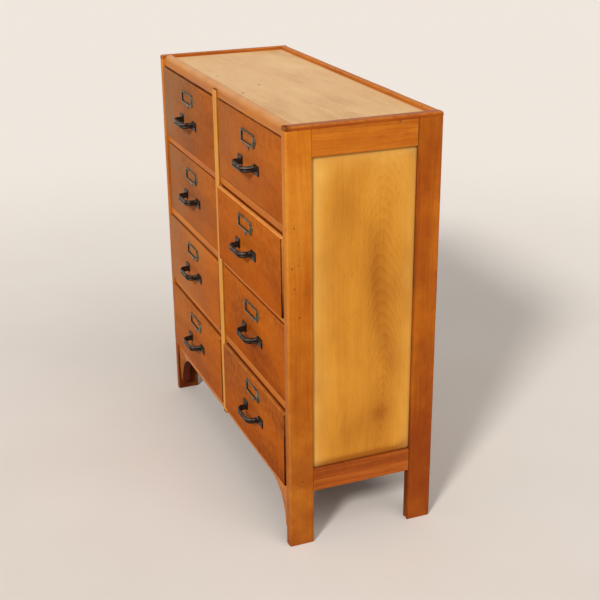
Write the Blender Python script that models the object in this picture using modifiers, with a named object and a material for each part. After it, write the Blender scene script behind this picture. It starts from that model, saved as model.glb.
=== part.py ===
"""School drawer unit: a framed chest with panelled sides and two columns of sliding drawers.

Lengths are in metres, +Z is up and the drawers face -Y. The origin lies on the floor, under the
middle of the whole object, handles included.
"""
import math

import bmesh
import bpy
from mathutils import Vector

# Carcass, without the handles
WIDTH = 0.889
DEPTH = 0.3475
HEIGHT = 0.9525

# Gap between pieces that touch
FIT = 0.0003

# Side frames: stiles that run down as legs, rails tenoned between them, a panel in a groove
SIDE_THICKNESS = 0.021
STILE_WIDTH = 0.057
SIDE_TOP_RAIL_HEIGHT = 0.057
SIDE_BOTTOM_RAIL_HEIGHT = 0.055
LEG_LENGTH = 0.1305
SIDE_PANEL_THICKNESS = 0.006
SIDE_PANEL_RECESS = 0.006
GROOVE_DEPTH = 0.007
TENON_LENGTH = 0.020
TENON_SHOULDER = 0.004
ARRIS_RADIUS = 0.005
EASED_EDGE = 0.0012

# Top: lips on three sides, a rounded rail in front, a sunk panel between them
LIP_HEIGHT = 0.009
LIP_RADIUS = 0.005
BACK_LIP_WIDTH = 0.018
TOP_PANEL_THICKNESS = 0.006
TOP_PANEL_RECESS = 0.008
TOP_RAIL_HEIGHT = 0.028
TOP_RAIL_DEPTH = 0.020
TOP_RAIL_RECESS = 0.005
TOP_RAIL_RADIUS = 0.016
TOP_RAIL_LEDGE = 0.022

# Front frame: divider rails, an apron with bracket ends, a muntin lapped over all of them
ROWS = 4
DIVIDER_HEIGHT = 0.019
FRAME_DEPTH = 0.020
FRAME_RECESS = 0.006
HOUSING_WEB = 0.003
APRON_BOTTOM = 0.1235
APRON_HEIGHT = 0.020
BRACKET_LENGTH = 0.088
BRACKET_DROP = 0.092
BRACKET_LAND = 0.020
MUNTIN_WIDTH = 0.024
MUNTIN_RADIUS = 0.0025
MUNTIN_TOP_GAP = 0.007
MUNTIN_BOTTOM_GAP = 0.005

# Inside and back
SHELF_THICKNESS = 0.008
PARTITION_THICKNESS = 0.012
BACK_THICKNESS = 0.006
BACK_INSET = 0.003
REAR_RAIL_DROP = 0.021
REAR_BOTTOM_RAIL_HEIGHT = 0.035
REAR_RAIL_DEPTH = 0.020

# Drawers
FRONT_THICKNESS = 0.018
FRONT_SIDE_GAP = 0.0015
FRONT_TOP_GAP = 0.003
FRONT_BOTTOM_GAP = 0.001
FRONT_EASED_EDGE = 0.002
BOX_TOP_CLEARANCE = 0.010
BOX_WALL = 0.010
BOX_BOTTOM = 0.006
BOX_SIDE_INSET = 0.004
BACK_STOP_GAP = 0.001

# How far each drawer stands out of its closed place at rest, top row first
REST_OUT = {
    "left": (0.005, 0.0, 0.006, 0.007),
    "right": (0.0, 0.010, 0.001, 0.009),
}

# How far each drawer's label frame and handle sit from the middle, across and up, top row first
HARDWARE_SHIFT = {
    "left": ((0.004, -0.003), (-0.0065, -0.002), (-0.002, 0.0005), (-0.0005, 0.003)),
    "right": ((-0.006, -0.005), (-0.011, 0.0035), (-0.0075, -0.0015), (0.0085, 0.007)),
}

# Bow handle: one strap whose ends widen into flat feet on the drawer front
HANDLE_LENGTH = 0.129
HANDLE_REACH = 0.030
HANDLE_BELOW_CENTRE = 0.0075
STRAP_HEIGHT = 0.0142
STRAP_THICKNESS = 0.0042
STRAP_CHAMFER = 0.0012
FOOT_LENGTH = 0.027
FOOT_HEIGHT = 0.0245
ARM_SLANT = 0.002
FOOT_BEND_SHARE = 0.12
GRIP_BEND_SHARE = 0.49

# The foot's outline, end first, as shares of its length and of its height
FOOT_OUTLINE_SHARE = ((1.0, 0.84), (0.95, 0.92), (0.66, 0.88), (0.33, 0.91))

# Label frame: a window for a card, two pointed ears and a pointed tab
LABEL_WIDTH = 0.081
LABEL_HEIGHT = 0.0304
LABEL_THICKNESS = 0.002
LABEL_WINDOW_WIDTH = 0.0686
LABEL_WINDOW_HEIGHT = 0.0216
LABEL_WINDOW_UP = 0.0008
LABEL_EAR_LENGTH = 0.0115
LABEL_EAR_HEIGHT = 0.0212
LABEL_TAB_LENGTH = 0.0125
LABEL_TAB_WIDTH = 0.020
LABEL_TIP_RADIUS = 0.002
LABEL_ABOVE_CENTRE = 0.0505

# Places that follow from the sizes above
MOST_OUT = max(max(column) for column in REST_OUT.values())
HANDLE_PROUD = HANDLE_REACH + MOST_OUT - FRAME_RECESS
FRONT = -(DEPTH - HANDLE_PROUD) / 2
BACK = FRONT + DEPTH
HALF_WIDTH = WIDTH / 2
INNER = HALF_WIDTH - SIDE_THICKNESS
HOUSING_DEPTH = SIDE_THICKNESS - SIDE_PANEL_RECESS - SIDE_PANEL_THICKNESS - HOUSING_WEB
LIP_BASE = HEIGHT - LIP_HEIGHT
PANEL_TOP = HEIGHT - TOP_PANEL_RECESS
PANEL_BASE = PANEL_TOP - TOP_PANEL_THICKNESS
FRAME_FRONT = FRONT + FRAME_RECESS
FRAME_BACK = FRAME_FRONT + FRAME_DEPTH
BACK_PANEL_FRONT = BACK - BACK_INSET - BACK_THICKNESS
APRON_TOP = APRON_BOTTOM + APRON_HEIGHT
OPENING_HEIGHT = (HEIGHT - TOP_RAIL_HEIGHT - APRON_TOP - (ROWS - 1) * DIVIDER_HEIGHT) / ROWS
ROW_PITCH = OPENING_HEIGHT + DIVIDER_HEIGHT
FRONT_WIDTH = INNER - MUNTIN_WIDTH / 2 - 2 * FRONT_SIDE_GAP
FRONT_HEIGHT = OPENING_HEIGHT - FRONT_TOP_GAP - FRONT_BOTTOM_GAP
BOX_WIDTH = FRONT_WIDTH - 2 * BOX_SIDE_INSET
BOX_HEIGHT = OPENING_HEIGHT - REAR_RAIL_DROP - BOX_TOP_CLEARANCE
BOX_LENGTH = BACK_PANEL_FRONT - BACK_STOP_GAP - (FRAME_FRONT + FRONT_THICKNESS + FIT)

# Turns that lay an outline's own X and Y along the axes named here
TURNS = {
    "xy": (0.0, 0.0, 0.0),
    "xz": (math.pi / 2, 0.0, 0.0),
    "yz": (math.pi / 2, 0.0, math.pi / 2),
}


def linear(channel):
    """One sRGB channel, 0 to 255, as a linear value."""
    value = channel / 255
    if value <= 0.04045:
        return value / 12.92
    return ((value + 0.055) / 1.055) ** 2.4


def finish(name, colour, roughness, metallic=0.0):
    """A material with the given sRGB colour."""
    material = bpy.data.materials.new(name)
    material.use_nodes = True
    shader = material.node_tree.nodes["Principled BSDF"]
    shader.inputs["Base Color"].default_value = [linear(channel) for channel in colour] + [1.0]
    shader.inputs["Roughness"].default_value = roughness
    shader.inputs["Metallic"].default_value = metallic
    return material


def place(name, mesh, centre, material, parent=None, turn="xy"):
    """An object in the parts collection, with its mesh's origin at centre."""
    if not mesh.materials:
        mesh.materials.append(material)
    obj = bpy.data.objects.new(name, mesh)
    obj.rotation_euler = TURNS[turn]
    obj.location = Vector(centre)
    if parent is not None:
        obj.parent = parent
        obj.location = Vector(centre) - parent.location
    PARTS.objects.link(obj)
    return obj


def box_mesh(name, size):
    """A box about its own middle."""
    mesh = bpy.data.meshes.new(name)
    cube = bmesh.new()
    bmesh.ops.create_cube(cube, size=1.0)
    bmesh.ops.scale(cube, vec=size, verts=cube.verts)
    cube.to_mesh(mesh)
    cube.free()
    return mesh


def ease(obj, width, segments=1):
    """Rounds the object's edges."""
    bevel = obj.modifiers.new("eased_edges", "BEVEL")
    bevel.width = width
    bevel.segments = segments
    bevel.limit_method = "ANGLE"


def board(name, low, high, material, eased=0.0):
    """A straight board between two corners."""
    low = Vector(low)
    high = Vector(high)
    obj = place(name, box_mesh(name, high - low), (low + high) / 2, material)
    if eased:
        ease(obj, eased)
    return obj


def cutter(name, low, high):
    """A box that only cuts or joins, kept out of the parts."""
    low = Vector(low)
    high = Vector(high)
    obj = bpy.data.objects.new(name, box_mesh(name, high - low))
    obj.location = (low + high) / 2
    obj.hide_render = True
    obj.display_type = "WIRE"
    CUTTERS.objects.link(obj)
    return obj


def combine(obj, tool, operation):
    """Adds a Boolean of the object with a cutter."""
    boolean = obj.modifiers.new(tool.name, "BOOLEAN")
    boolean.operation = operation
    boolean.solver = "EXACT"
    boolean.object = tool


def socket(obj, label, low, high):
    """Cuts room for a piece that fills low to high, with the fit gap all round."""
    gap = Vector((FIT, FIT, FIT))
    tool = cutter(f"{obj.name}_{label}_socket", Vector(low) - gap, Vector(high) + gap)
    combine(obj, tool, "DIFFERENCE")


def settled_mesh(obj, name):
    """The object's evaluated mesh with its loose points welded; the object is removed."""
    graph = bpy.context.evaluated_depsgraph_get()
    mesh = bpy.data.meshes.new_from_object(obj.evaluated_get(graph))
    mesh.name = name
    welded = bmesh.new()
    welded.from_mesh(mesh)
    bmesh.ops.remove_doubles(welded, verts=welded.verts, dist=0.000001)
    welded.to_mesh(mesh)
    welded.free()
    bpy.data.objects.remove(obj, do_unlink=True)
    return mesh


def outline_mesh(name, outlines, thickness):
    """A flat outline, with any holes after it, as a plate about its own plane."""
    curve = bpy.data.curves.new(name, "CURVE")
    curve.dimensions = "2D"
    curve.fill_mode = "BOTH"
    curve.extrude = thickness / 2
    for outline in outlines:
        spline = curve.splines.new("POLY")
        spline.points.add(len(outline) - 1)
        for point, (across, up) in zip(spline.points, outline):
            point.co = (across, up, 0.0, 1.0)
        spline.use_cyclic_u = True
    obj = bpy.data.objects.new(name, curve)
    PARTS.objects.link(obj)
    return settled_mesh(obj, name)


def rounded(corners, radii, steps=4, closed=True):
    """The corners' outline with each corner turned into an arc of its own radius."""
    points = []
    count = len(corners)
    for index, radius in enumerate(radii):
        here = Vector(corners[index])
        at_end = not closed and index in (0, count - 1)
        if radius == 0 or at_end:
            points.append(tuple(here))
            continue
        before = (Vector(corners[index - 1]) - here).normalized()
        after = (Vector(corners[(index + 1) % count]) - here).normalized()
        half = before.angle(after) / 2
        centre = here + (before + after).normalized() * (radius / math.sin(half))
        first = here + before * (radius / math.tan(half)) - centre
        last = here + after * (radius / math.tan(half)) - centre
        start = math.atan2(first.y, first.x)
        sweep = math.atan2(last.y, last.x) - start
        sweep = (sweep + math.pi) % (2 * math.pi) - math.pi
        for step in range(steps + 1):
            angle = start + sweep * step / steps
            points.append((centre.x + radius * math.cos(angle), centre.y + radius * math.sin(angle)))
    return points


def bar(name, outline, start, end, turn, material):
    """An outline drawn out from start to end along the axis that it leaves free."""
    mesh = outline_mesh(name, [outline], end - start)
    middle = (start + end) / 2
    centre = {"xy": (0, 0, middle), "xz": (0, middle, 0), "yz": (middle, 0, 0)}[turn]
    return place(name, mesh, centre, material, turn=turn)


def row_base(row):
    """Height of the shelf that a row's drawers run on; row 1 is the top one."""
    return APRON_TOP + (ROWS - row) * ROW_PITCH


def across(sign, near, far):
    """Low and high X of a span that lies near to far from the middle, on one side."""
    return (near, far) if sign > 0 else (-far, -near)


def shelf_span(row):
    """Corners of a row's shelf."""
    top = row_base(row)
    front = FRAME_BACK + FIT
    back = BACK_PANEL_FRONT - FIT
    reach = INNER + HOUSING_DEPTH
    return (-reach, front, top - SHELF_THICKNESS), (reach, back, top)


def divider_span(row):
    """Corners of the rail under a row's drawers."""
    top = row_base(row)
    reach = INNER + HOUSING_DEPTH
    return (-reach, FRAME_FRONT, top - DIVIDER_HEIGHT), (reach, FRAME_BACK, top)


def rear_rail_span(label):
    """Corners of the top or bottom rail along the back, against the back panel."""
    reach = INNER + HOUSING_DEPTH
    back = BACK_PANEL_FRONT - FIT
    if label == "top":
        top = PANEL_BASE - FIT
        base = HEIGHT - TOP_RAIL_HEIGHT - REAR_RAIL_DROP
    else:
        top = APRON_TOP - SHELF_THICKNESS - FIT
        base = top - REAR_BOTTOM_RAIL_HEIGHT
    return (-reach, back - REAR_RAIL_DEPTH, base), (reach, back, top)


def ledge_span():
    """Corners of the top front rail's ledge under the top panel."""
    front = FRONT + TOP_RAIL_RECESS
    back = front + TOP_RAIL_DEPTH + TOP_RAIL_LEDGE
    return (-INNER, front, HEIGHT - TOP_RAIL_HEIGHT), (INNER, back, PANEL_BASE - FIT)


def side_panel_span(sign):
    """Corners of a side panel, with the edges that its grooves hold."""
    outer = HALF_WIDTH - SIDE_PANEL_RECESS
    low_x, high_x = across(sign, outer - SIDE_PANEL_THICKNESS, outer)
    low_z = LEG_LENGTH + SIDE_BOTTOM_RAIL_HEIGHT - GROOVE_DEPTH
    high_z = LIP_BASE - SIDE_TOP_RAIL_HEIGHT + GROOVE_DEPTH
    low_y = FRONT + STILE_WIDTH - GROOVE_DEPTH
    high_y = BACK - STILE_WIDTH + GROOVE_DEPTH
    return (low_x, low_y, low_z), (high_x, high_y, high_z)


def tenon_span(sign, low_z, high_z):
    """Corners of the tongue through a side rail, tenons included, in line with the panel."""
    (low_x, _, _), (high_x, _, _) = side_panel_span(sign)
    low_y = FRONT + STILE_WIDTH - TENON_LENGTH
    high_y = BACK - STILE_WIDTH + TENON_LENGTH
    inset = GROOVE_DEPTH + TENON_SHOULDER
    return (low_x, low_y, low_z + inset), (high_x, high_y, high_z - inset)


def side_rail_heights():
    """Low and high Z of the side rails, by name."""
    top = LIP_BASE - FIT
    return {
        "top": (LIP_BASE - SIDE_TOP_RAIL_HEIGHT, top),
        "bottom": (LEG_LENGTH, LEG_LENGTH + SIDE_BOTTOM_RAIL_HEIGHT),
    }


def build_stile(side, sign, end):
    """One stile and leg, with sockets for all that is jointed into it."""
    low_x, high_x = across(sign, INNER, HALF_WIDTH)
    low_y = FRONT if end == "front" else BACK - STILE_WIDTH
    high_y = low_y + STILE_WIDTH
    corners = [(low_x, low_y), (high_x, low_y), (high_x, high_y), (low_x, high_y)]
    outer_x = sign * HALF_WIDTH
    outer_y = FRONT if end == "front" else BACK
    radii = []
    for corner_x, corner_y in corners:
        on_arris = math.isclose(corner_x, outer_x) and math.isclose(corner_y, outer_y)
        radii.append(ARRIS_RADIUS if on_arris else EASED_EDGE)
    outline = rounded(corners, radii)
    obj = bar(f"{end}_{side}_stile", outline, 0.0, LIP_BASE - FIT, "xy", FRAME_WOOD)
    groove_low, groove_high = side_panel_span(sign)
    socket(obj, "panel", (groove_low[0], groove_low[1], -GROOVE_DEPTH), groove_high)
    for label, heights in side_rail_heights().items():
        socket(obj, f"{label}_rail", *tenon_span(sign, *heights))
    for row in range(1, ROWS + 1):
        socket(obj, f"shelf_{row}", *shelf_span(row))
    if end == "front":
        for row in range(1, ROWS):
            socket(obj, f"divider_{row}", *divider_span(row))
    else:
        for label in ("top", "bottom"):
            socket(obj, f"rear_{label}_rail", *rear_rail_span(label))


def build_side(side, sign):
    """One side frame: two stiles, two rails and the panel."""
    build_stile(side, sign, "front")
    build_stile(side, sign, "rear")
    low_x, high_x = across(sign, INNER, HALF_WIDTH)
    low_y = FRONT + STILE_WIDTH + FIT
    high_y = BACK - STILE_WIDTH - FIT
    for label, (low_z, high_z) in side_rail_heights().items():
        low = (low_x, low_y, low_z)
        high = (high_x, high_y, high_z)
        rail = board(f"{side}_side_{label}_rail", low, high, FRAME_WOOD, EASED_EDGE)
        tongue = cutter(f"{rail.name}_tenons", *tenon_span(sign, low_z, high_z))
        combine(rail, tongue, "UNION")
        socket(rail, "panel", *side_panel_span(sign))
        if label == "bottom":
            socket(rail, "shelf", *shelf_span(ROWS))
    board(f"{side}_side_panel", *side_panel_span(sign), SIDE_PLY)


def build_top():
    """The lips, the rounded front rail and the sunk panel."""
    for side, sign in (("left", -1), ("right", 1)):
        low_x, high_x = across(sign, INNER, HALF_WIDTH)
        corners = [(low_x, LIP_BASE), (high_x, LIP_BASE), (high_x, HEIGHT), (low_x, HEIGHT)]
        radii = [0, 0, LIP_RADIUS, EASED_EDGE] if sign > 0 else [0, 0, EASED_EDGE, LIP_RADIUS]
        bar(f"{side}_top_lip", rounded(corners, radii), FRONT, BACK, "xz", FRAME_WOOD)
    inner_y = BACK - BACK_LIP_WIDTH
    corners = [(inner_y, LIP_BASE), (BACK, LIP_BASE), (BACK, HEIGHT), (inner_y, HEIGHT)]
    outline = rounded(corners, [0, 0, LIP_RADIUS, EASED_EDGE])
    bar("back_top_lip", outline, -INNER + FIT, INNER - FIT, "yz", FRAME_WOOD)
    (_, front, base), (_, ledge_back, ledge_top) = ledge_span()
    back = front + TOP_RAIL_DEPTH
    corners = [(front, base), (ledge_back, base), (ledge_back, ledge_top), (back, ledge_top),
               (back, HEIGHT), (front, HEIGHT)]
    outline = rounded(corners, [EASED_EDGE, 0, 0, 0, EASED_EDGE, TOP_RAIL_RADIUS], steps=6)
    bar("top_front_rail", outline, -INNER + FIT, INNER - FIT, "yz", FRAME_WOOD)
    low = (-INNER + FIT, back + FIT, PANEL_BASE)
    high = (INNER - FIT, inner_y - FIT, PANEL_TOP)
    board("top_panel", low, high, TOP_PLY)


def apron_outline():
    """The apron's front view: a straight rail whose ends sweep down the legs."""
    reach = INNER - FIT
    foot = APRON_BOTTOM - BRACKET_DROP
    start = reach - BRACKET_LAND - BRACKET_LENGTH
    steps = 10
    half = [(reach, APRON_TOP), (reach, foot), (reach - BRACKET_LAND, foot)]
    for step in range(1, steps + 1):
        angle = math.pi / 2 * step / steps
        half.append((start + BRACKET_LENGTH * math.cos(angle), foot + BRACKET_DROP * math.sin(angle)))
    return half + [(-x, z) for x, z in reversed(half)]


def build_front_frame():
    """Divider rails, apron and the muntin that laps over them."""
    for row in range(1, ROWS):
        board(f"divider_rail_{row}", *divider_span(row), RAIL_WOOD, EASED_EDGE)
    bar("front_apron", apron_outline(), FRAME_FRONT, FRAME_BACK, "xz", RAIL_WOOD)
    half = MUNTIN_WIDTH / 2
    corners = [(-half, FRONT), (half, FRONT), (half, FRAME_BACK), (-half, FRAME_BACK)]
    outline = rounded(corners, [MUNTIN_RADIUS, MUNTIN_RADIUS, 0, 0])
    low = APRON_BOTTOM + MUNTIN_BOTTOM_GAP
    high = HEIGHT - MUNTIN_TOP_GAP
    muntin = bar("centre_muntin", outline, low, high, "xy", MUNTIN_WOOD)
    for row in range(1, ROWS):
        socket(muntin, f"divider_{row}", *divider_span(row))
    reach = INNER
    socket(muntin, "apron", (-reach, FRAME_FRONT, 0.0), (reach, FRAME_BACK, APRON_TOP))
    (low_x, front, base), (high_x, back, _) = ledge_span()
    socket(muntin, "top_rail", (low_x, front, base), (high_x, back, HEIGHT))


def build_inside():
    """Shelves that the drawers run on, the partition between the columns, rear rails and back."""
    middle = (FRAME_BACK + BACK_PANEL_FRONT) / 2
    half = PARTITION_THICKNESS / 2
    rear_top = rear_rail_span("top")
    low = (-half, FRAME_BACK + FIT, APRON_TOP + FIT)
    high = (half, BACK_PANEL_FRONT - FIT, PANEL_BASE - FIT)
    partition = board("centre_partition", low, high, INNER_PLY)
    socket(partition, "rear_top_rail", *rear_top)
    socket(partition, "top_rail", *ledge_span())
    for row in range(1, ROWS + 1):
        shelf_low, shelf_high = shelf_span(row)
        shelf = board(f"drawer_shelf_{row}", shelf_low, shelf_high, INNER_PLY)
        if row < ROWS:
            slot_low = (-half, middle, shelf_low[2] - SHELF_THICKNESS)
            slot_high = (half, BACK, shelf_high[2] + SHELF_THICKNESS)
            socket(shelf, "partition", slot_low, slot_high)
            notch_low = (-INNER, FRONT, shelf_low[2])
            notch_high = (INNER, middle, shelf_high[2])
            socket(partition, f"shelf_{row}", notch_low, notch_high)
    board("rear_top_rail", *rear_top, INNER_WOOD)
    board("rear_bottom_rail", *rear_rail_span("bottom"), INNER_WOOD)
    low = (-INNER + FIT, BACK_PANEL_FRONT, APRON_BOTTOM)
    high = (INNER - FIT, BACK_PANEL_FRONT + BACK_THICKNESS, LIP_BASE - FIT)
    board("back_panel", low, high, INNER_PLY)


def box_shell_mesh():
    """A drawer's sides, back and bottom, open above and towards the front."""
    size = Vector((BOX_WIDTH, BOX_LENGTH, BOX_HEIGHT))
    shell = bpy.data.objects.new("drawer_box_blank", box_mesh("drawer_box_blank", size))
    PARTS.objects.link(shell)
    low = Vector((-BOX_WIDTH / 2 + BOX_WALL, -BOX_LENGTH, -BOX_HEIGHT / 2 + BOX_BOTTOM))
    high = Vector((BOX_WIDTH / 2 - BOX_WALL, BOX_LENGTH / 2 - BOX_WALL, BOX_HEIGHT))
    combine(shell, cutter("drawer_box_inside", low, high), "DIFFERENCE")
    return settled_mesh(shell, "drawer_box")


def strap_path():
    """Plan of the handle's middle line as (x, y, height), foot to foot; -Y is outwards."""
    half_length = HANDLE_LENGTH / 2
    bend = half_length - FOOT_LENGTH
    half_thickness = STRAP_THICKNESS / 2
    resting = -FIT - half_thickness
    out = -HANDLE_REACH + half_thickness
    corners = [(half_length, resting), (bend, resting), (bend - ARM_SLANT, out), (0.0, out)]
    arm = math.hypot(ARM_SLANT, resting - out)
    slope = math.tan(math.atan2(resting - out, ARM_SLANT) / 2)
    foot_radius = FOOT_BEND_SHARE * arm / slope
    grip_radius = GRIP_BEND_SHARE * arm / slope
    bend_steps = 6
    turns = rounded(corners, [0, foot_radius, grip_radius, 0], steps=bend_steps, closed=False)
    root = turns[1][0]
    path = []
    for along, tall in FOOT_OUTLINE_SHARE:
        path.append((root + (half_length - root) * along, resting, FOOT_HEIGHT * tall))
    for step, (x, y) in enumerate(turns[1:-1]):
        flare = max(0.0, 1 - step / bend_steps)
        path.append((x, y, STRAP_HEIGHT + (FOOT_HEIGHT - STRAP_HEIGHT) * flare))
    return path + [(-x, y, height) for x, y, height in reversed(path)]


def handle_mesh():
    """The strap lofted along its path, crowned on the outside."""
    path = strap_path()
    loft = bmesh.new()
    rings = []
    for index, (x, y, height) in enumerate(path):
        ahead = path[min(index + 1, len(path) - 1)]
        behind = path[max(index - 1, 0)]
        run = Vector((ahead[0] - behind[0], ahead[1] - behind[1])).normalized()
        outwards = Vector((-run.y, run.x)) * (STRAP_THICKNESS / 2)
        tall = height / 2
        section = [(-1, -tall), (-1, tall), (0.5, tall), (1, tall - STRAP_CHAMFER * 2),
                   (1, STRAP_CHAMFER * 2 - tall), (0.5, -tall)]
        ring = []
        for depth, z in section:
            ring.append(loft.verts.new((x - outwards.x * depth, y - outwards.y * depth, z)))
        rings.append(ring)
    for ring, following in zip(rings, rings[1:]):
        for index in range(len(ring)):
            after = (index + 1) % len(ring)
            loft.faces.new((ring[index], ring[after], following[after], following[index]))
    loft.faces.new(rings[0])
    loft.faces.new(rings[-1])
    bmesh.ops.recalc_face_normals(loft, faces=loft.faces)
    mesh = bpy.data.meshes.new("bow_handle")
    loft.to_mesh(mesh)
    loft.free()
    mesh.shade_smooth()
    mesh.set_sharp_from_angle(angle=math.radians(35))
    return mesh


def label_mesh():
    """The card frame's plate with its window."""
    wide = LABEL_WIDTH / 2
    tall = LABEL_HEIGHT / 2
    ear = LABEL_EAR_HEIGHT / 2
    tab = LABEL_TAB_WIDTH / 2
    right = [(tab, -tall), (wide, -tall), (wide, -ear), (wide + LABEL_EAR_LENGTH, 0.0), (wide, ear),
             (wide, tall)]
    left = [(-x, z) for x, z in reversed(right)]
    corners = right + left + [(0.0, -tall - LABEL_TAB_LENGTH)]
    tips = (3, 8, 12)
    radii = [LABEL_TIP_RADIUS if index in tips else 0 for index in range(len(corners))]
    wide = LABEL_WINDOW_WIDTH / 2
    tall = LABEL_WINDOW_HEIGHT / 2
    low = LABEL_WINDOW_UP - tall
    high = LABEL_WINDOW_UP + tall
    window = [(-wide, low), (wide, low), (wide, high), (-wide, high)]
    return outline_mesh("label_frame", [rounded(corners, radii, steps=3), window], LABEL_THICKNESS)


def build_drawers():
    """Every drawer: front, box, handle and label frame, under an empty on its line of travel."""
    front_mesh = box_mesh("drawer_front", (FRONT_WIDTH, FRONT_THICKNESS, FRONT_HEIGHT))
    shell_mesh = box_shell_mesh()
    bow_mesh = handle_mesh()
    card_mesh = label_mesh()
    for side, sign in (("left", -1), ("right", 1)):
        middle_x = sign * (MUNTIN_WIDTH / 2 + INNER) / 2
        for row in range(1, ROWS + 1):
            name = f"{side}_drawer_{row}"
            face = FRAME_FRONT - REST_OUT[side][row - 1]
            base = row_base(row)
            middle_z = base + FRONT_BOTTOM_GAP + FRONT_HEIGHT / 2
            line = bpy.data.objects.new(f"{name}_line", None)
            line.location = (middle_x, face, middle_z)
            PARTS.objects.link(line)
            centre = (middle_x, face + FRONT_THICKNESS / 2, middle_z)
            front = place(f"{name}_front", front_mesh, centre, DRAWER_WOOD, line)
            ease(front, FRONT_EASED_EDGE, segments=2)
            box_front = face + FRONT_THICKNESS + FIT
            centre = (middle_x, box_front + BOX_LENGTH / 2, base + FIT + BOX_HEIGHT / 2)
            place(f"{name}_box", shell_mesh, centre, BOX_WOOD, line)
            shift_x, shift_z = HARDWARE_SHIFT[side][row - 1]
            metal_x = middle_x + shift_x
            metal_z = middle_z + shift_z
            centre = (metal_x, face, metal_z - HANDLE_BELOW_CENTRE)
            place(f"{name}_handle", bow_mesh, centre, DARK_METAL, line)
            centre = (metal_x, face - FIT - LABEL_THICKNESS / 2, metal_z + LABEL_ABOVE_CENTRE)
            place(f"{name}_label_frame", card_mesh, centre, LABEL_METAL, line, turn="xz")


for old in list(bpy.data.objects):
    bpy.data.objects.remove(old, do_unlink=True)

PARTS = bpy.data.collections.new("school_drawer_unit")
CUTTERS = bpy.data.collections.new("cutters")
bpy.context.scene.collection.children.link(PARTS)
bpy.context.scene.collection.children.link(CUTTERS)

FRAME_WOOD = finish("frame_wood", (190, 98, 32), 0.35)
RAIL_WOOD = finish("rail_wood", (200, 110, 45), 0.4)
MUNTIN_WOOD = finish("muntin_wood", (215, 150, 65), 0.4)
DRAWER_WOOD = finish("drawer_wood", (168, 92, 44), 0.35)
SIDE_PLY = finish("side_ply", (212, 150, 62), 0.4)
TOP_PLY = finish("top_ply", (218, 180, 130), 0.4)
INNER_PLY = finish("inner_ply", (196, 160, 112), 0.6)
INNER_WOOD = finish("inner_wood", (188, 146, 94), 0.6)
BOX_WOOD = finish("box_wood", (200, 166, 118), 0.6)
DARK_METAL = finish("dark_metal", (48, 44, 42), 0.4, 0.8)
LABEL_METAL = finish("label_metal", (70, 66, 58), 0.45, 0.8)

build_side("left", -1)
build_side("right", 1)
build_top()
build_front_frame()
build_inside()
build_drawers()
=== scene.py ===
"""Looks of the school drawer unit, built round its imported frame."""
import math
import random

import bmesh
import bpy
from bl_math import smoothstep
from mathutils import Color, Matrix, Vector, noise


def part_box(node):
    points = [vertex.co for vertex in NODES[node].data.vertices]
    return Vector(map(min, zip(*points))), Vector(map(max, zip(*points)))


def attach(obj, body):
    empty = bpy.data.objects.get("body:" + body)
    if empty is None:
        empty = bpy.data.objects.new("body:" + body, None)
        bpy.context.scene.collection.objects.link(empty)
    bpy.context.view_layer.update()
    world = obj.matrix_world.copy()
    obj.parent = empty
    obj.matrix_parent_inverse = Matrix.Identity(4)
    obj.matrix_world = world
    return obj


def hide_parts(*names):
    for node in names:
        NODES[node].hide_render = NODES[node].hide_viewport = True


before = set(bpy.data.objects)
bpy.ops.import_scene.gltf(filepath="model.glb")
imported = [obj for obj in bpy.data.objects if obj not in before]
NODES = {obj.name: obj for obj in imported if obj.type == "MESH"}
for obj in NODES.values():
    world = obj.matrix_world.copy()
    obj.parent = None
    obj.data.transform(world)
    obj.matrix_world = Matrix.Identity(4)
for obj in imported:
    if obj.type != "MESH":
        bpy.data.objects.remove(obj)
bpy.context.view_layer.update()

# Camera of the photograph, round the middle of the carcass
AZIMUTH = math.radians(68.16)
ELEVATION = math.radians(21.89)
ROLL = math.radians(-0.524)
DISTANCE = 2.838
LENS = 69.13
SIDEWAYS = 0.0305
UPWARDS = -0.0683

ROWS = (1, 2, 3, 4)
SIDES = (("left", -1), ("right", 1))
FIT = 0.0003


# Colours and shader nodes


def rgb(red, green, blue):
    """An sRGB colour, 0 to 255, as linear RGBA."""
    colour = Color((red / 255, green / 255, blue / 255))
    return (*colour.from_srgb_to_scene_linear(), 1.0)


class Wire:
    """A node's output, to calculate with."""

    def __init__(self, nodes, socket):
        self.nodes = nodes
        self.socket = socket

    def __add__(self, other):
        return self.nodes.math("ADD", self, other)

    def __sub__(self, other):
        return self.nodes.math("SUBTRACT", self, other)

    def __rsub__(self, other):
        return self.nodes.math("SUBTRACT", other, self)

    def __mul__(self, other):
        return self.nodes.math("MULTIPLY", self, other)


class Nodes:
    """A node tree with short ways to add to it."""

    def __init__(self, tree):
        self.tree = tree

    def put(self, socket, value):
        value = getattr(value, "socket", value)
        if isinstance(value, bpy.types.NodeSocket):
            self.tree.links.new(value, socket)
        else:
            socket.default_value = value

    def node(self, kind, inputs, **settings):
        node = self.tree.nodes.new("ShaderNode" + kind)
        for key, value in settings.items():
            setattr(node, key, value)
        for key, value in inputs.items():
            self.put(node.inputs[key], value)
        return node

    def add(self, kind, inputs, output=0, **settings):
        return Wire(self, self.node(kind, inputs, **settings).outputs[output])

    def math(self, operation, first, second=0.0, clamp=False):
        return self.add("Math", {0: first, 1: second}, operation=operation, use_clamp=clamp)

    def vector(self, x, y, z):
        return self.add("CombineXYZ", {0: x, 1: y, 2: z})

    def parts(self, vector):
        return [Wire(self, socket) for socket in self.node("SeparateXYZ", {0: vector}).outputs]


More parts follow.
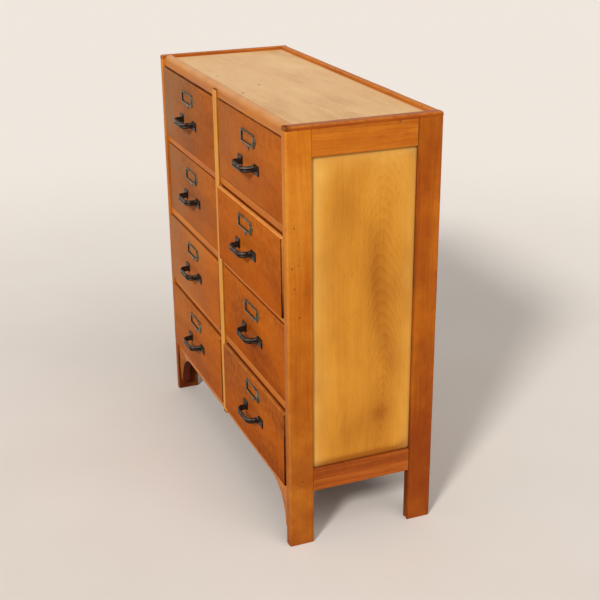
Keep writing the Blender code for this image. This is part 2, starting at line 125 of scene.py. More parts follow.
class Paint(Nodes):
    """A material's nodes."""

    def __init__(self, name):
        self.material = bpy.data.materials.new(name)
        self.material.use_nodes = True
        super().__init__(self.material.node_tree)

    def shade(self, inputs):
        """Sets the shader's own inputs."""
        shader = self.tree.nodes["Principled BSDF"]
        for key, value in inputs.items():
            self.put(shader.inputs[key], value)

    def noise(self, vector, scale=1.0, detail=2.0, roughness=0.5):
        inputs = {"Vector": vector, "Scale": scale, "Detail": detail, "Roughness": roughness}
        return self.add("TexNoise", inputs)

    def mix(self, share, first, second):
        return self.add("Mix", {0: share, 6: first, 7: second}, output=2, data_type="RGBA")

    def between(self, value, low, high, to_low=0.0, to_high=1.0):
        """value from low to high, eased to the span to_low to to_high."""
        inputs = {0: value, 1: low, 2: high, 3: to_low, 4: to_high}
        return self.add("MapRange", inputs, interpolation_type="SMOOTHSTEP")

    def ramp(self, value, stops):
        """Three colours at their places on a scale."""
        node = self.node("ValToRGB", {0: value})
        points = node.color_ramp.elements
        points.new(0.5)
        for stop, (place, colour) in zip(points, stops):
            stop.position = place
            stop.color = colour
        return node.outputs[0]

    def mesh_value(self, name):
        return self.add("Attribute", {}, output=2, attribute_name=name)

    def own_value(self, name):
        return self.add("Attribute", {}, output=2, attribute_name=name, attribute_type="OBJECT")

    def object_place(self):
        return self.add("TexCoord", {}, output=3)

    def moved(self, place):
        """A place moved by the object's seed, so that no two pieces look the same."""
        offset = self.add("VectorMath", {0: SEED_SHIFT, 3: self.own_value("seed")}, operation="SCALE")
        return self.add("VectorMath", {0: place, 1: offset}, operation="ADD")

    def bump(self, height, strength, distance):
        return self.add("Bump", {"Strength": strength, "Distance": distance, "Height": height})


SEED_SHIFT = (3.7, 5.3, 7.9)

# Width, length and detail of what makes the grain
STREAK = (0.0042, 0.16, 4.0)
BAND = (0.024, 0.75, 2.0)
PORE = (0.0007, 0.011, 1.0)
FLECK = (0.0022, 0.018, 1.0)

# Where a noise or a distance starts to show, and where it shows in full
PORE_SPAN = (0.60, 0.72)
FLECK_SPAN = (0.66, 0.76)
NICK_SPAN = (0.66, 0.72)
DENT_SPAN = (0.10, 0.04)
PATCHY_SPAN = (0.28, 0.72)
PATCH_SPAN = (0.30, 0.70)

WANDER_SCALE = 7.0
WANDER_REACH = 0.035
BLOTCH_SCALE = 8.0
PATCHY_SCALE = 60.0
PATCH_SCALE = 14.0
NICK_SCALE = 170.0
DENT_SCALE = 42.0
DENT_SHARE = 0.80
TONE_STOPS = (0.22, 0.5, 0.8)
RING_WOBBLE = 2.4
RING_NEAR, RING_FAR, RING_LEFT = 0.02, 0.07, 0.35
PORE_STRENGTH = 0.2
MARK_STRENGTH = 0.65
NICK_STRENGTH = 0.6
STAIN_AND_LIGHT_ROUGHNESS = 0.45
DENT_ROUGHNESS = 0.2
RELIEF_DEPTH = 0.0003
STREAK_RISE, BLOTCH_RISE, PORE_DEPTH, DENT_DEPTH = 0.35, 1.2, 0.5, 1.6
DENT_COLOUR = rgb(70, 28, 10)
MARK_COLOUR = rgb(72, 28, 8)
NICK_COLOUR = rgb(92, 40, 14)
# The colour of rubbed-through wood; on the drawers' top edges it also stands as painted light
BARE_AND_LIT_COLOUR = rgb(240, 164, 86)

# Which of x, y and z lies across, deep in and along the grain
GRAIN_ORDER = {"x": (1, 2, 0), "y": (0, 2, 1), "z": (1, 0, 2)}


def wood(name, palette, grain, gloss, streaks=0.34, bands=0.34, blotches=0.5, specks=0.5, flecks=0.3,
         roughness=0.42, wear=0.5, relief=1.0, drawn=0.4, rings=None, rim=None, rim_strength=0.0,
         stain=rgb(104, 46, 10), marks=()):
    """A varnished wood whose grain runs along one axis.

    palette is dark, middle, light and worn. drawn is how far blotches are drawn out along the grain,
    from round at 1. rings is (middle across, tilt, offset, spacing, strength) of the cathedral figure.
    rim is the colour that the rim value brings in, and the colour after it goes with the stain value. They
    bring in old soiling, a paler rim, a chip and a darker foot on some pieces, and painted shade, a painted
    highlight and a painted sheen on others. marks holds single dark spots as (place, radius).
    """
    paint = Paint(name)
    dark, worn = palette[0], palette[-1]
    place = paint.object_place()
    moved = paint.moved(place)
    order = GRAIN_ORDER[grain]
    parts = paint.parts(moved)
    across, deep, along = (parts[index] for index in order)

    wander = paint.noise(paint.vector(across, deep, along * 0.45), WANDER_SCALE)
    wander = (wander - 0.5) * WANDER_REACH
    across_wandered = across + wander

    def stretched(width, length, detail):
        vector = paint.vector(across_wandered * (1 / width), deep * (1 / width), along * (1 / length))
        return paint.noise(vector, 1.0, detail)

    streak = stretched(*STREAK)
    blotch = paint.noise(paint.vector(across, deep, along * drawn), BLOTCH_SCALE, 4.0, 0.6)
    figure = paint.own_value("tone") + 0.5 - paint.mesh_value("cloud")
    for part, strength in ((streak, streaks), (stretched(*BAND), bands), (blotch, blotches)):
        figure = figure + (part - 0.5) * strength
    if rings:
        ring_across, tilt, ring_offset, spacing, strength = rings
        plain = paint.parts(place)
        aside = plain[order[0]] + wander - ring_across
        rise = plain[order[2]] * tilt + ring_offset
        reach = paint.math("SQRT", aside * aside + rise * rise)
        turns = reach * (1 / spacing) + blotch * RING_WOBBLE
        ring = paint.math("POWER", paint.math("FRACT", turns), 2.0)
        fade = paint.between(paint.math("ABSOLUTE", aside), RING_NEAR, RING_FAR, 1.0, RING_LEFT)
        figure = figure + (0.4 - ring) * fade * strength

    pore = paint.between(stretched(*PORE), *PORE_SPAN)
    fleck = paint.between(stretched(*FLECK), *FLECK_SPAN)
    cell = paint.node("TexVoronoi", {"Vector": moved, "Scale": DENT_SCALE}).outputs
    chosen = paint.math("GREATER_THAN", paint.add("SeparateColor", {0: cell["Color"]}), DENT_SHARE)
    dent = paint.between(cell["Distance"], *DENT_SPAN) * chosen
    layers = [(pore * PORE_STRENGTH, dark), (fleck * flecks, dark), (dent * specks, DENT_COLOUR)]

    patchy = paint.noise(moved, PATCHY_SCALE, 3.0)
    for spot, radius in marks:
        gap = paint.add("VectorMath", {0: place, 1: spot}, output=1, operation="DISTANCE")
        gap = gap + (patchy - 0.5) * radius
        layers.append((paint.between(gap, 0.4 * radius, radius, MARK_STRENGTH, 0.0), MARK_COLOUR))

    edge = paint.mesh_value("edge")
    rubbed = edge * paint.between(patchy, *PATCHY_SPAN, 0.25, 1.0)
    nick = edge * paint.between(paint.noise(moved, NICK_SCALE), *NICK_SPAN)
    layers += [(rubbed * wear, worn), (nick * NICK_STRENGTH, NICK_COLOUR)]

    patch = paint.between(paint.noise(moved, PATCH_SCALE, 3.0), *PATCH_SPAN, 0.7, 1.15)
    # The rim, stain and bare values bring in old soiling, a paler rim, a chip and rubbed wood on some pieces,
    # and painted shade, a painted highlight, a painted sheen and painted light on others
    if rim:
        layers.append((paint.mesh_value("rim") * patch * rim_strength, rim))
    dirt_and_painted_light = paint.mesh_value("stain") * paint.own_value("stained")
    dirt_and_painted_light = paint.math("MULTIPLY", dirt_and_painted_light, patch, clamp=True)
    bared = paint.mesh_value("bare") * paint.own_value("bared")
    bared = bared * paint.between(patchy, *PATCHY_SPAN, 0.75, 1.0)
    layers += [(dirt_and_painted_light, stain), (bared, BARE_AND_LIT_COLOUR)]
    colour = paint.ramp(figure, zip(TONE_STOPS, palette))
    for share, covering in layers:
        colour = paint.mix(share, colour, covering)

    rough = paint.between(blotch, 0.3, 0.7, roughness - 0.06, roughness + 0.08)
    rough = rough + dent * DENT_ROUGHNESS + dirt_and_painted_light * STAIN_AND_LIGHT_ROUGHNESS
    height = streak * STREAK_RISE - pore * PORE_DEPTH - dent * DENT_DEPTH + blotch * BLOTCH_RISE
    paint.shade({"Base Color": colour, "Roughness": rough, "Specular IOR Level": gloss,
                 "Normal": paint.bump(height, 0.3, RELIEF_DEPTH * relief)})
    return paint.material


TARNISH = rgb(26, 20, 18)
TARNISH_SCALE = 90.0
PITS_SCALE = 520.0
PITS_DEPTH = 0.0004
RUB_STRENGTH = 0.8


def old_metal(name, dark, rub, roughness, metallic, gloss):
    """Darkened metal, rubbed bright along its edges."""
    paint = Paint(name)
    moved = paint.moved(paint.object_place())
    cloud = paint.noise(moved, TARNISH_SCALE, 4.0, 0.6)
    fine = paint.noise(moved, PITS_SCALE, 3.0, 0.6)
    colour = paint.mix(paint.between(cloud, 0.35, 0.65), dark, TARNISH)
    worn = paint.mesh_value("edge") * paint.between(cloud, 0.38, 0.60)
    colour = paint.mix(worn * RUB_STRENGTH, colour, rub)
    rough = paint.between(fine, 0.3, 0.7, roughness - 0.08, roughness + 0.12)
    paint.shade({"Base Color": colour, "Metallic": metallic, "Specular IOR Level": gloss,
                 "Roughness": rough, "Normal": paint.bump(cloud + fine * 0.4, 0.4, PITS_DEPTH)})
    return paint.material


# Mesh pieces


def placed(name, data):
    """A new object in the scene."""
    obj = bpy.data.objects.new(name, data)
    bpy.context.scene.collection.objects.link(obj)
    return obj


def finish_piece(name, mesh, material, body, seed, replaced=(), tone=0.0, place=None,
                 stained=1.0, bared=0.0, flats=False):
    """A mesh as an object that rides on a body.

    stained and bared say how much of its stain and bare values it shows; on the drawer fronts these are a
    painted grey sheen and rubbed wood painted lighter as painted light. flats keeps large flats flat beside
    rounded edges.
    """
    mesh.materials.clear()
    mesh.materials.append(material)
    obj = placed(name, mesh)
    if place is not None:
        obj.location = place
    obj["seed"] = seed
    obj["tone"] = tone
    obj["stained"] = stained
    obj["bared"] = bared
    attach(obj, body)
    if replaced:
        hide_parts(*replaced)
    if flats:
        modifier = obj.modifiers.new("flats", "WEIGHTED_NORMAL")
        modifier.keep_sharp = True
        modifier.weight = 100


def carcass_piece(name, mesh, material, seed, tone=0.0):
    """A piece that stands for the carcass node of that name."""
    finish_piece(f"{name}_look", mesh, material, "carcass", seed, (name,), tone, flats=True)


WOOD_ANGLE = 35.0
METAL_ANGLE = 50.0
HEAD_ANGLE = 60.0


def as_mesh(solid, name, angle=WOOD_ANGLE):
    """A bmesh as a mesh, shaded smooth apart from corners sharper than angle."""
    bmesh.ops.recalc_face_normals(solid, faces=solid.faces)
    mesh = bpy.data.meshes.new(name)
    solid.to_mesh(mesh)
    solid.free()
    mesh.shade_smooth()
    mesh.set_sharp_from_angle(angle=math.radians(angle))
    return mesh


def joined_mesh(parts, name, angle=WOOD_ANGLE):
    """Several meshes as one."""
    joined = bmesh.new()
    for part in parts:
        joined.from_mesh(part)
    return as_mesh(joined, name, angle)


def point(solid, place, **values):
    """A new point of a bmesh with its mesh values."""
    layers = solid.verts.layers.float
    carried = [(layers.get(key) or layers.new(key), value) for key, value in values.items()]
    vert = solid.verts.new(place)
    for layer, value in carried:
        vert[layer] = value
    return vert


def band_faces(solid, row, above, closed=True):
    """Faces between two rows of points, which are rings if closed."""
    for index in range(len(row) if closed else len(row) - 1):
        after = (index + 1) % len(row)
        solid.faces.new((row[index], row[after], above[after], above[index]))


def skin(solid, rings):
    """Faces along rings of points, with both ends shut."""
    for ring, following in zip(rings, rings[1:]):
        band_faces(solid, ring, following)
    solid.faces.new(rings[0])
    solid.faces.new(rings[-1])


def upright(mesh, y):
    """Turns a plate from its own XY plane to face -Y, with its middle at y."""
    mesh.transform(Matrix.Translation((0, y, 0)) @ Matrix.Rotation(math.pi / 2, 4, "X"))
    return mesh


def bell(distance, width):
    """1 at no distance, and near 0 beyond the width."""
    return math.exp(-(distance / width) ** 2)


def middle_of(node):
    low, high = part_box(node)
    return (low + high) / 2


def rectangle(low_u, low_v, high_u, high_v):
    return [(low_u, low_v), (high_u, low_v), (high_u, high_v), (low_u, high_v)]


def arc(before, here, after, radius, steps):
    """Points of the round corner at here."""
    here = Vector(here)
    before = (Vector(before) - here).normalized()
    after = (Vector(after) - here).normalized()
    half = before.angle(after) / 2
    centre = here + (before + after).normalized() * (radius / math.sin(half))
    first = here + before * (radius / math.tan(half)) - centre
    last = here + after * (radius / math.tan(half)) - centre
    start = math.atan2(first.y, first.x)
    sweep = (math.atan2(last.y, last.x) - start + math.pi) % (2 * math.pi) - math.pi
    turns = [start + sweep * step / steps for step in range(steps + 1)]
    return [(centre.x + radius * math.cos(turn), centre.y + radius * math.sin(turn)) for turn in turns]


def rounded_profile(corners, radii, steps=5):
    """Points (u, v, wear, corner) of a closed outline with round corners."""
    points = []
    for index, (here, radius) in enumerate(zip(corners, radii)):
        if radius == 0:
            points.append((*here, 0.0, index))
            continue
        after = corners[(index + 1) % len(corners)]
        for step, (u, v) in enumerate(arc(corners[index - 1], here, after, radius, steps)):
            wear = math.sin(math.pi * (step + 0.5) / (steps + 1))
            points.append((u, v, wear, index))
    return points


def split_flanks(points, level):
    """The outline with points added where it crosses a height, so that a value can change there."""
    out = []
    for here, after in zip(points, points[1:] + points[:1]):
        out.append(here)
        if (here[1] - level) * (after[1] - level) < 0:
            share = (level - here[1]) / (after[1] - here[1])
            out.append((here[0] + (after[0] - here[0]) * share, level, 0.0, here[3]))
    return out


def outline_normals(points):
    """Outward normals of a closed outline that runs anticlockwise."""
    normals = []
    for before, after in zip(points[-1:] + points[:-1], points[1:] + points[:1]):
        run = Vector((after[0] - before[0], after[1] - before[1])).normalized()
        normals.append(Vector((run.y, -run.x)))
    return normals


SPREAD = {
    "x": lambda u, v, s: (s, u, v),
    "y": lambda u, v, s: (u, s, v),
    "z": lambda u, v, s: (u, v, s),
}
END_TURNS = 3
END_WEAR = 0.8
WEAR_WAVES, SEED_STEP, CORNER_STEP = 11, 3.1, 5.7
WEAR_MEAN, WEAR_SWING = 0.55, 0.9

# Where along a nick the outline is drawn, in its widths
NICK_STATIONS = (-1.6, -0.9, -0.45, 0.0, 0.45, 0.9, 1.6)


def bar_mesh(name, profile, axis, start, end, step=0.012, end_round=0.001, wear=0.0006, nicks=(),
             seed=0.0, **values):
    """A profile drawn along an axis, with rounded ends, worn arrises and nicks.

    nicks holds (corner, place, width, depth). values are the mesh values rim, stain and bare, each as a
    function of (u, v, place) or None.
    """
    area = sum(a[0] * b[1] - b[0] * a[1] for a, b in zip(profile, profile[1:] + profile[:1]))
    if area < 0:
        profile = profile[::-1]
    normals = outline_normals(profile)
    first, last = start + end_round, end - end_round
    count = max(2, round((end - start) / step))
    places = [first + (end - start - 2 * end_round) * index / count for index in range(count + 1)]
    for _, middle, width, _ in nicks:
        places += [middle + width * share for share in NICK_STATIONS]
    places = sorted(place for place in set(places) if first <= place <= last)
    head = []
    for index in range(END_TURNS):
        angle = math.pi / 2 * index / END_TURNS
        head.append((start + end_round * (1 - math.cos(angle)), end_round * (1 - math.sin(angle)), 1.0))
    tail = [(start + end - place, inset, worn) for place, inset, worn in reversed(head)]
    solid = bmesh.new()
    rings = []
    for place, inset, at_end in head + [(place, 0.0, 0.0) for place in places] + tail:
        ring = []
        for (u, v, weight, corner), normal in zip(profile, normals):
            drift = noise.noise(Vector((place * WEAR_WAVES + seed * SEED_STEP, corner * CORNER_STEP, seed)))
            depth = weight * wear * max(0.0, WEAR_MEAN + WEAR_SWING * drift) + inset
            for nick_corner, middle, width, nick_depth in nicks:
                if nick_corner == corner:
                    depth += weight * nick_depth * bell(place - middle, 0.5 * width)
            here = SPREAD[axis](u - normal.x * depth, v - normal.y * depth, place)
            carried = {key: value(u, v, place) for key, value in values.items() if value}
            ring.append(point(solid, here, edge=max(weight, END_WEAR * at_end), **carried))
        rings.append(ring)
    skin(solid, rings)
    return as_mesh(solid, name)


NICK_WIDTHS = (0.002, 0.006)
NICK_FROM_END = 0.03


def random_nicks(seed, corners, start, end, count, depth):
    """Nicks strewn along the corners, the same on every run."""
    draw = random.Random(seed)
    out = []
    for _ in range(count):
        width = draw.uniform(*NICK_WIDTHS)
        corner = draw.choice(corners)
        place = draw.uniform(start + NICK_FROM_END, end - NICK_FROM_END)
        out.append((corner, place, width, depth * draw.uniform(0.4, 1.0)))
    return out


RIM_FADE = 0.016
STAIN_AND_SHADE_FADE = 0.003

# Lines of a sheet's grid near its edges, as distances from them, and where the even ones begin
EDGE_LINES = (0.0, 0.004, 0.007, 0.009, 0.011, 0.014, 0.018, 0.024, 0.032, 0.042)
EVEN_FROM = 0.055
EVEN_LINES = 14
CLOUD_LINES = 40


def sheet_mesh(name, low, high, face_axis, hidden=0.0, stained=(0.3,) * 4, rimmed=(1.0,) * 4, clouds=()):
    """A thin board with a fine grid on its faces.

    Its rim value is high in a band along its edges, and its stain value at the edges themselves, with a
    strength for each of the low and high edges across and up; on the side panels that edge value is painted
    shade where the panel leaves its grooves, and old staining as well along the bottom. hidden is how much
    lies in a groove. clouds holds soft darker spots as (across, up, width, height, strength).
    """
    thin = "xyz".index(face_axis)
    wide, tall = [index for index in range(3) if index != thin]
    inner = CLOUD_LINES if clouds else EVEN_LINES

    def lines(first, last):
        span = last - first - 2 * EVEN_FROM
        middle = [EVEN_FROM + span * index / inner for index in range(inner + 1)]
        near = [first + value for value in (*EDGE_LINES, *middle)]
        return near + [last - value for value in reversed(EDGE_LINES)]

    def cloud(side, up):
        return sum(strength * bell(side - across, width) * bell(up - level, height)
                   for across, level, width, height, strength in clouds)

    def faded(gaps, shares, reach):
        return sum(share * math.exp(-gap / reach) for gap, share in zip(gaps, shares))

    def grid_point(level, side, up):
        place = Vector()
        place[thin], place[wide], place[tall] = level, side, up
        gaps = [side - low[wide], high[wide] - side, up - low[tall], high[tall] - up]
        gaps = [max(gap - hidden, 0.0) for gap in gaps]
        return point(solid, place, rim=min(1.0, faded(gaps, rimmed, RIM_FADE)),
                     stain=faded(gaps, stained, STAIN_AND_SHADE_FADE), cloud=cloud(side, up))

    solid = bmesh.new()
    grids = [[[grid_point(level, side, up) for side in lines(low[wide], high[wide])]
              for up in lines(low[tall], high[tall])] for level in (low[thin], high[thin])]
    loops = []
    for grid in grids:
        for row, above in zip(grid, grid[1:]):
            band_faces(solid, row, above, closed=False)
        right = [row[-1] for row in grid[1:]]
        left = [row[0] for row in grid[-2:0:-1]]
        loops.append(grid[0] + right + grid[-1][-2::-1] + left)
    band_faces(solid, *loops)
    return as_mesh(solid, name)


BEVEL_STEPS = 2
WELD = 0.00001


def plate_mesh(name, outlines, thickness, bevel, holes=()):
    """A flat outline with holes as a plate with rounded edges, in its own XY plane.

    holes holds half sizes of windows whose walls get no rubbed colour: they keep the dark metal, and
    this darkness is also painted shade inside the window.
    """
    curve = bpy.data.curves.new(name, "CURVE")
    curve.dimensions = "2D"
    curve.fill_mode = "BOTH"
    curve.extrude = thickness / 2 - bevel
    curve.bevel_depth = bevel
    curve.bevel_resolution = BEVEL_STEPS
    curve.offset = -bevel
    for outline in outlines:
        spline = curve.splines.new("POLY")
        spline.points.add(len(outline) - 1)
        for knot, (across, up) in zip(spline.points, outline):
            knot.co = (across, up, 0.0, 1.0)
        spline.use_cyclic_u = True
    obj = placed(name, curve)
    graph = bpy.context.evaluated_depsgraph_get()
    unwelded = bpy.data.meshes.new_from_object(obj.evaluated_get(graph))
    bpy.data.objects.remove(obj, do_unlink=True)
    welded = bmesh.new()
    welded.from_mesh(unwelded)
    bpy.data.meshes.remove(unwelded)
    bmesh.ops.remove_doubles(welded, verts=welded.verts, dist=WELD)
    layer = welded.verts.layers.float.new("edge")
    for vert in welded.verts:
        inside = any(abs(vert.co.x) < wide and abs(vert.co.y) < tall for wide, tall in holes)
        vert[layer] = 0.0 if inside else 1.0
    return as_mesh(welded, name, METAL_ANGLE)


# Materials: each palette is dark, middle, light and worn

FRAME = (rgb(150, 66, 6), rgb(192, 106, 16), rgb(214, 136, 40), rgb(224, 152, 66))
LOW = (rgb(112, 44, 6), rgb(148, 66, 8), rgb(186, 100, 32), rgb(204, 124, 56))
RAIL = (rgb(150, 72, 16), rgb(194, 110, 34), rgb(214, 136, 58), rgb(222, 146, 76))
ROUND = (rgb(154, 84, 26), rgb(192, 114, 36), rgb(212, 138, 58), rgb(216, 146, 76))
MUNTIN = (rgb(170, 98, 28), rgb(208, 140, 52), rgb(224, 162, 74), rgb(232, 174, 92))
FRONTS = (rgb(126, 50, 4), rgb(173, 82, 9), rgb(198, 106, 22), rgb(214, 132, 58))
GOLDEN = (rgb(160, 92, 18), rgb(204, 136, 40), rgb(224, 166, 74), rgb(232, 180, 94))
PALE = (rgb(186, 134, 76), rgb(224, 180, 128), rgb(236, 202, 152), rgb(236, 202, 154))
BARE = (rgb(160, 116, 70), rgb(196, 156, 106), rgb(214, 180, 132), rgb(220, 188, 142))
# A darker palette for the bottom shelf and rear bottom rail: painted shade under the unit
SHADED_UNDER = (rgb(74, 44, 22), rgb(104, 68, 38), rgb(128, 88, 54), rgb(140, 100, 64))
DARKER_LOW = rgb(124, 46, 6)

# Single dark spots, by the two coordinates in the face that carries them
SIDE_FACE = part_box("front_right_stile")[1].x
PANEL_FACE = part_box("right_side_panel")[1].x
TOP_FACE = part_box("top_panel")[1].z
STILE_MARKS = ((-0.140, 0.745), (-0.130, 0.665), (-0.145, 0.660), (-0.140, 0.615), (-0.130, 0.550),
               (-0.130, 0.210), (-0.125, 0.160), (-0.130, 0.150))
LIP_MARK = (0.092, 0.941)
PANEL_MARK = (0.1335, 0.8895)
TOP_MARKS = ((-0.140, -0.100), (0.070, -0.110), (0.0, -0.047))

# Apron wood: the colour of its stain value is painted shade on the left bracket and the cut edge
frame_x = wood("frame_wood_x", FRAME, "x", gloss=0.15, wear=0.35, stain=rgb(86, 30, 16))
frame_y = wood("frame_wood_y", FRAME, "y", streaks=0.5, gloss=0.12, wear=0.35,
               marks=[((SIDE_FACE, *LIP_MARK), 0.0035)])
low_y = wood("low_wood_y", LOW, "y", streaks=0.8, gloss=0.12, wear=0.35)
# Stile wood: darker towards the floor, and the colour of its stain value is painted shade on the legs' inner
# faces and along the panel lines
frame_z = wood("frame_wood_z", FRAME, "z", streaks=0.32, blotches=0.8, drawn=1.0, gloss=0.09, wear=0.4,
               rim=DARKER_LOW, rim_strength=0.75, stain=rgb(70, 26, 8),
               marks=[((SIDE_FACE, *mark), 0.003) for mark in STILE_MARKS])
# Divider rail wood: the colour of its stain value is painted shade along the rails' lower edges
rail_x = wood("rail_wood_x", RAIL, "x", gloss=0.04, stain=rgb(112, 24, 0))
rail_y = wood("rail_wood_y", RAIL, "y", gloss=0.1, stain=rgb(64, 26, 8))
# Top rail wood: its pale rim colour is a painted highlight, and the colour of its stain value is painted
# shade
round_x = wood("round_wood_x", ROUND, "x", gloss=0.07, roughness=0.36, wear=0.2, rim=rgb(210, 154, 100),
               rim_strength=0.8, stain=rgb(106, 32, 2))
muntin_z = wood("muntin_wood_z", MUNTIN, "z", streaks=0.2, specks=0.2, drawn=1.0, gloss=0.1, wear=0.2,
                stain=rgb(116, 36, 2))
# Drawer front wood: the rim colour is painted shade on the ends, the bottom edge and behind the top edge, and
# the colour of the stain value is a painted grey sheen
front_x = wood("drawer_wood_x", FRONTS, "x", streaks=0.18, bands=0.16, blotches=0.95, specks=0.3,
               flecks=0.12, gloss=0.004, wear=0.45, relief=0.4, rim=rgb(48, 12, 3), rim_strength=1.0,
               stain=rgb(150, 117, 88))
# Side panel ply: the colour of its stain value is painted shade in the grooves, and old staining along the
# bottom
side_panel = wood("side_ply_z", GOLDEN, "z", streaks=0.12, bands=0.06, blotches=0.6, specks=0.4,
                  flecks=0.4, gloss=0.15, rings=(0.062, 0.14, -0.014, 0.0036, 0.055),
                  rim=rgb(238, 190, 104), rim_strength=0.65, stain=rgb(84, 36, 8),
                  marks=[((PANEL_FACE, *PANEL_MARK), 0.009)])
top_panel = wood("top_ply_x", PALE, "x", streaks=0.16, bands=0.16, blotches=0.9, specks=0.4, flecks=0.4,
                 roughness=0.36, gloss=0.02, rings=(0.02, 0.10, 0.05, 0.022, 0.03),
                 stain=rgb(150, 92, 44), marks=[((*mark, TOP_FACE), 0.0055) for mark in TOP_MARKS])
inner_x = wood("inner_ply_x", BARE, "x", roughness=0.6, gloss=0.2)
# Painted shade: darker wood for the undersides of the unit
shaded_under_x = wood("shaded_under_ply_x", SHADED_UNDER, "x", roughness=0.7, gloss=0.1)
inner_y = wood("inner_wood_y", BARE, "y", roughness=0.6, gloss=0.2)
inner_z = wood("inner_ply_z", BARE, "z", roughness=0.6, gloss=0.2)
# On the handles the rubbed colour is also a painted highlight along the upper ridge of the strap
iron = old_metal("dark_metal", rgb(42, 28, 20), rgb(170, 156, 142), 0.24, 0.15, 0.04)
bronze = old_metal("label_metal", rgb(80, 70, 50), rgb(142, 130, 100), 0.38, 0.6, 0.4)


# Carcass

ARRIS = 0.0012
STILE_ARRIS = 0.0016
FRONT_STILE_ARRIS = 0.005
REAR_STILE_ARRIS = 0.003
# Painted shade on the legs' inner faces below the bottom shelf, and a painted shade line where the panel
# meets each stile
LEG_SHADE = 0.75
PANEL_LINE = 0.003
GROOVE_LINE_SHADE = {"front": 0.15, "rear": 0.55}
HEAD_VARNISH = 0.45


def stile(side, sign, end, seed, tone, nicks):
    """A stile and leg with its rounded outer arris and the panel groove in its inner edge.

    It grows darker towards the floor, and a rear one at its head too. Its leg's inner face below the bottom
    shelf and a line along the panel carry painted shade.
    """
    name = f"{end}_{side}_stile"
    low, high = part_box(name)
    panel_low, panel_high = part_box(f"{side}_side_panel")
    front = end == "front"
    near, far = (low, high) if front else (high, low)
    groove = (panel_low.x - FIT, panel_high.x + FIT)
    groove_near, groove_far = groove if front else groove[::-1]
    groove_end = panel_low.y - FIT if front else panel_high.y + FIT
    corners = [(near.x, near.y), (far.x, near.y), (far.x, far.y), (groove_far, far.y),
               (groove_far, groove_end), (groove_near, groove_end), (groove_near, far.y), (near.x, far.y)]
    outer = int(front == (sign > 0))
    radii = [STILE_ARRIS, STILE_ARRIS, ARRIS, 0, 0, 0, 0, ARRIS]
    radii[outer] = FRONT_STILE_ARRIS if front else REAR_STILE_ARRIS
    profile = rounded_profile(corners, radii)
    profile = split_flanks(profile, far.y + (-PANEL_LINE if front else PANEL_LINE))
    nicks = [(outer, *nick) for nick in nicks] + random_nicks(name, (0, 1, 2), low.z, high.z, 14, 0.0007)
    inner = low.x if sign > 0 else high.x
    line = GROOVE_LINE_SHADE[end]
    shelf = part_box("drawer_shelf_4")[0].z

    # Painted shade on the leg's inner face and along the panel line
    def darkening(u, v, place):
        if abs(u - inner) < FIT:
            return LEG_SHADE * (1 - smoothstep(0.7 * shelf, shelf, place))
        return line if abs(v - far.y) < PANEL_LINE / 2 else 0.0

    def darker_foot_and_head(u, v, place):
        head = 0.0 if front else HEAD_VARNISH * smoothstep(0.72 * high.z, 0.95 * high.z, place)
        return max(1 - place / high.z, head)

    mesh = bar_mesh(name, profile, "z", low.z, high.z, nicks=nicks, seed=seed, rim=darker_foot_and_head, stain=darkening)
    carcass_piece(name, mesh, frame_z, seed, tone)


SHADE_LINE_CORE = 0.0025
SHADE_LINE_HEIGHT = 0.0048
SHADE_LINE_STRENGTH = 0.95


def lower_shade_line(height, bottom):
    """Painted shade: a dark line along the lower edge of a rail, standing for the shade in the gap below it.
    """
    return SHADE_LINE_STRENGTH * (1 - smoothstep(bottom + SHADE_LINE_CORE, bottom + SHADE_LINE_HEIGHT, height))


def straight(name, axis, material, seed, tone, radii=(ARRIS,) * 4, low=None, high=None, nicks=6,
             end_round=0.001, stain=None):
    """A straight member over a node's box, or over the part of it from low to high."""
    box_low, box_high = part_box(name)
    low = Vector(low) if low else box_low
    high = Vector(high) if high else box_high
    along = "xyz".index(axis)
    u, v = [index for index in range(3) if index != along]
    profile = rounded_profile(rectangle(low[u], low[v], high[u], high[v]), radii)
    if stain:
        for level in (SHADE_LINE_CORE, SHADE_LINE_HEIGHT):
            profile = split_flanks(profile, low[v] + level)
    strewn = random_nicks(name, (0, 1, 2, 3), low[along], high[along], nicks, 0.0006)
    mesh = bar_mesh(name, profile, axis, low[along], high[along], end_round=end_round, nicks=strewn,
                    seed=seed, stain=stain)
    carcass_piece(name, mesh, material, seed, tone)


# Each stile's own nicks are (height, width, depth)
stile("right", 1, "front", 1.0, 0.13, [(0.140, 0.010, 0.0035), (0.235, 0.010, 0.003), (0.60, 0.004, 0.0012)])
stile("right", 1, "rear", 2.0, -0.13, [(0.40, 0.006, 0.0012)])
stile("left", -1, "front", 3.0, 0.0, [(0.5, 0.005, 0.0012)])
stile("left", -1, "rear", 4.0, -0.05, [(0.7, 0.005, 0.0012)])

PANEL_CLOUDS = (
    (0.043, 0.62, 0.030, 0.09, 0.14), (0.068, 0.54, 0.036, 0.13, 0.17), (0.070, 0.44, 0.026, 0.06, 0.08),
    (0.060, 0.29, 0.024, 0.016, 0.12), (-0.030, 0.80, 0.050, 0.07, 0.09), (-0.088, 0.77, 0.016, 0.08, -0.2),
    (-0.078, 0.85, 0.026, 0.026, -0.2), (0.128, 0.88, 0.018, 0.018, 0.25), (0.010, 0.26, 0.150, 0.060, 0.08),
    (0.010, 0.186, 0.300, 0.011, 0.55), (0.125, 0.19, 0.022, 0.022, 0.3),
)
PANEL_IN_GROOVE = 0.007
# Darkening at the front, rear, bottom and top edges: painted shade where the panel leaves its grooves, with
# old staining along the bottom
PANEL_EDGE_SHADE_AND_STAIN = (0.85, 0.4, 1.3, 0.6)
PANEL_RIMMED = (1.0, 0.5, 0.0, 0.7)
LIP_TONE = -0.24
LIP_END = 0.003

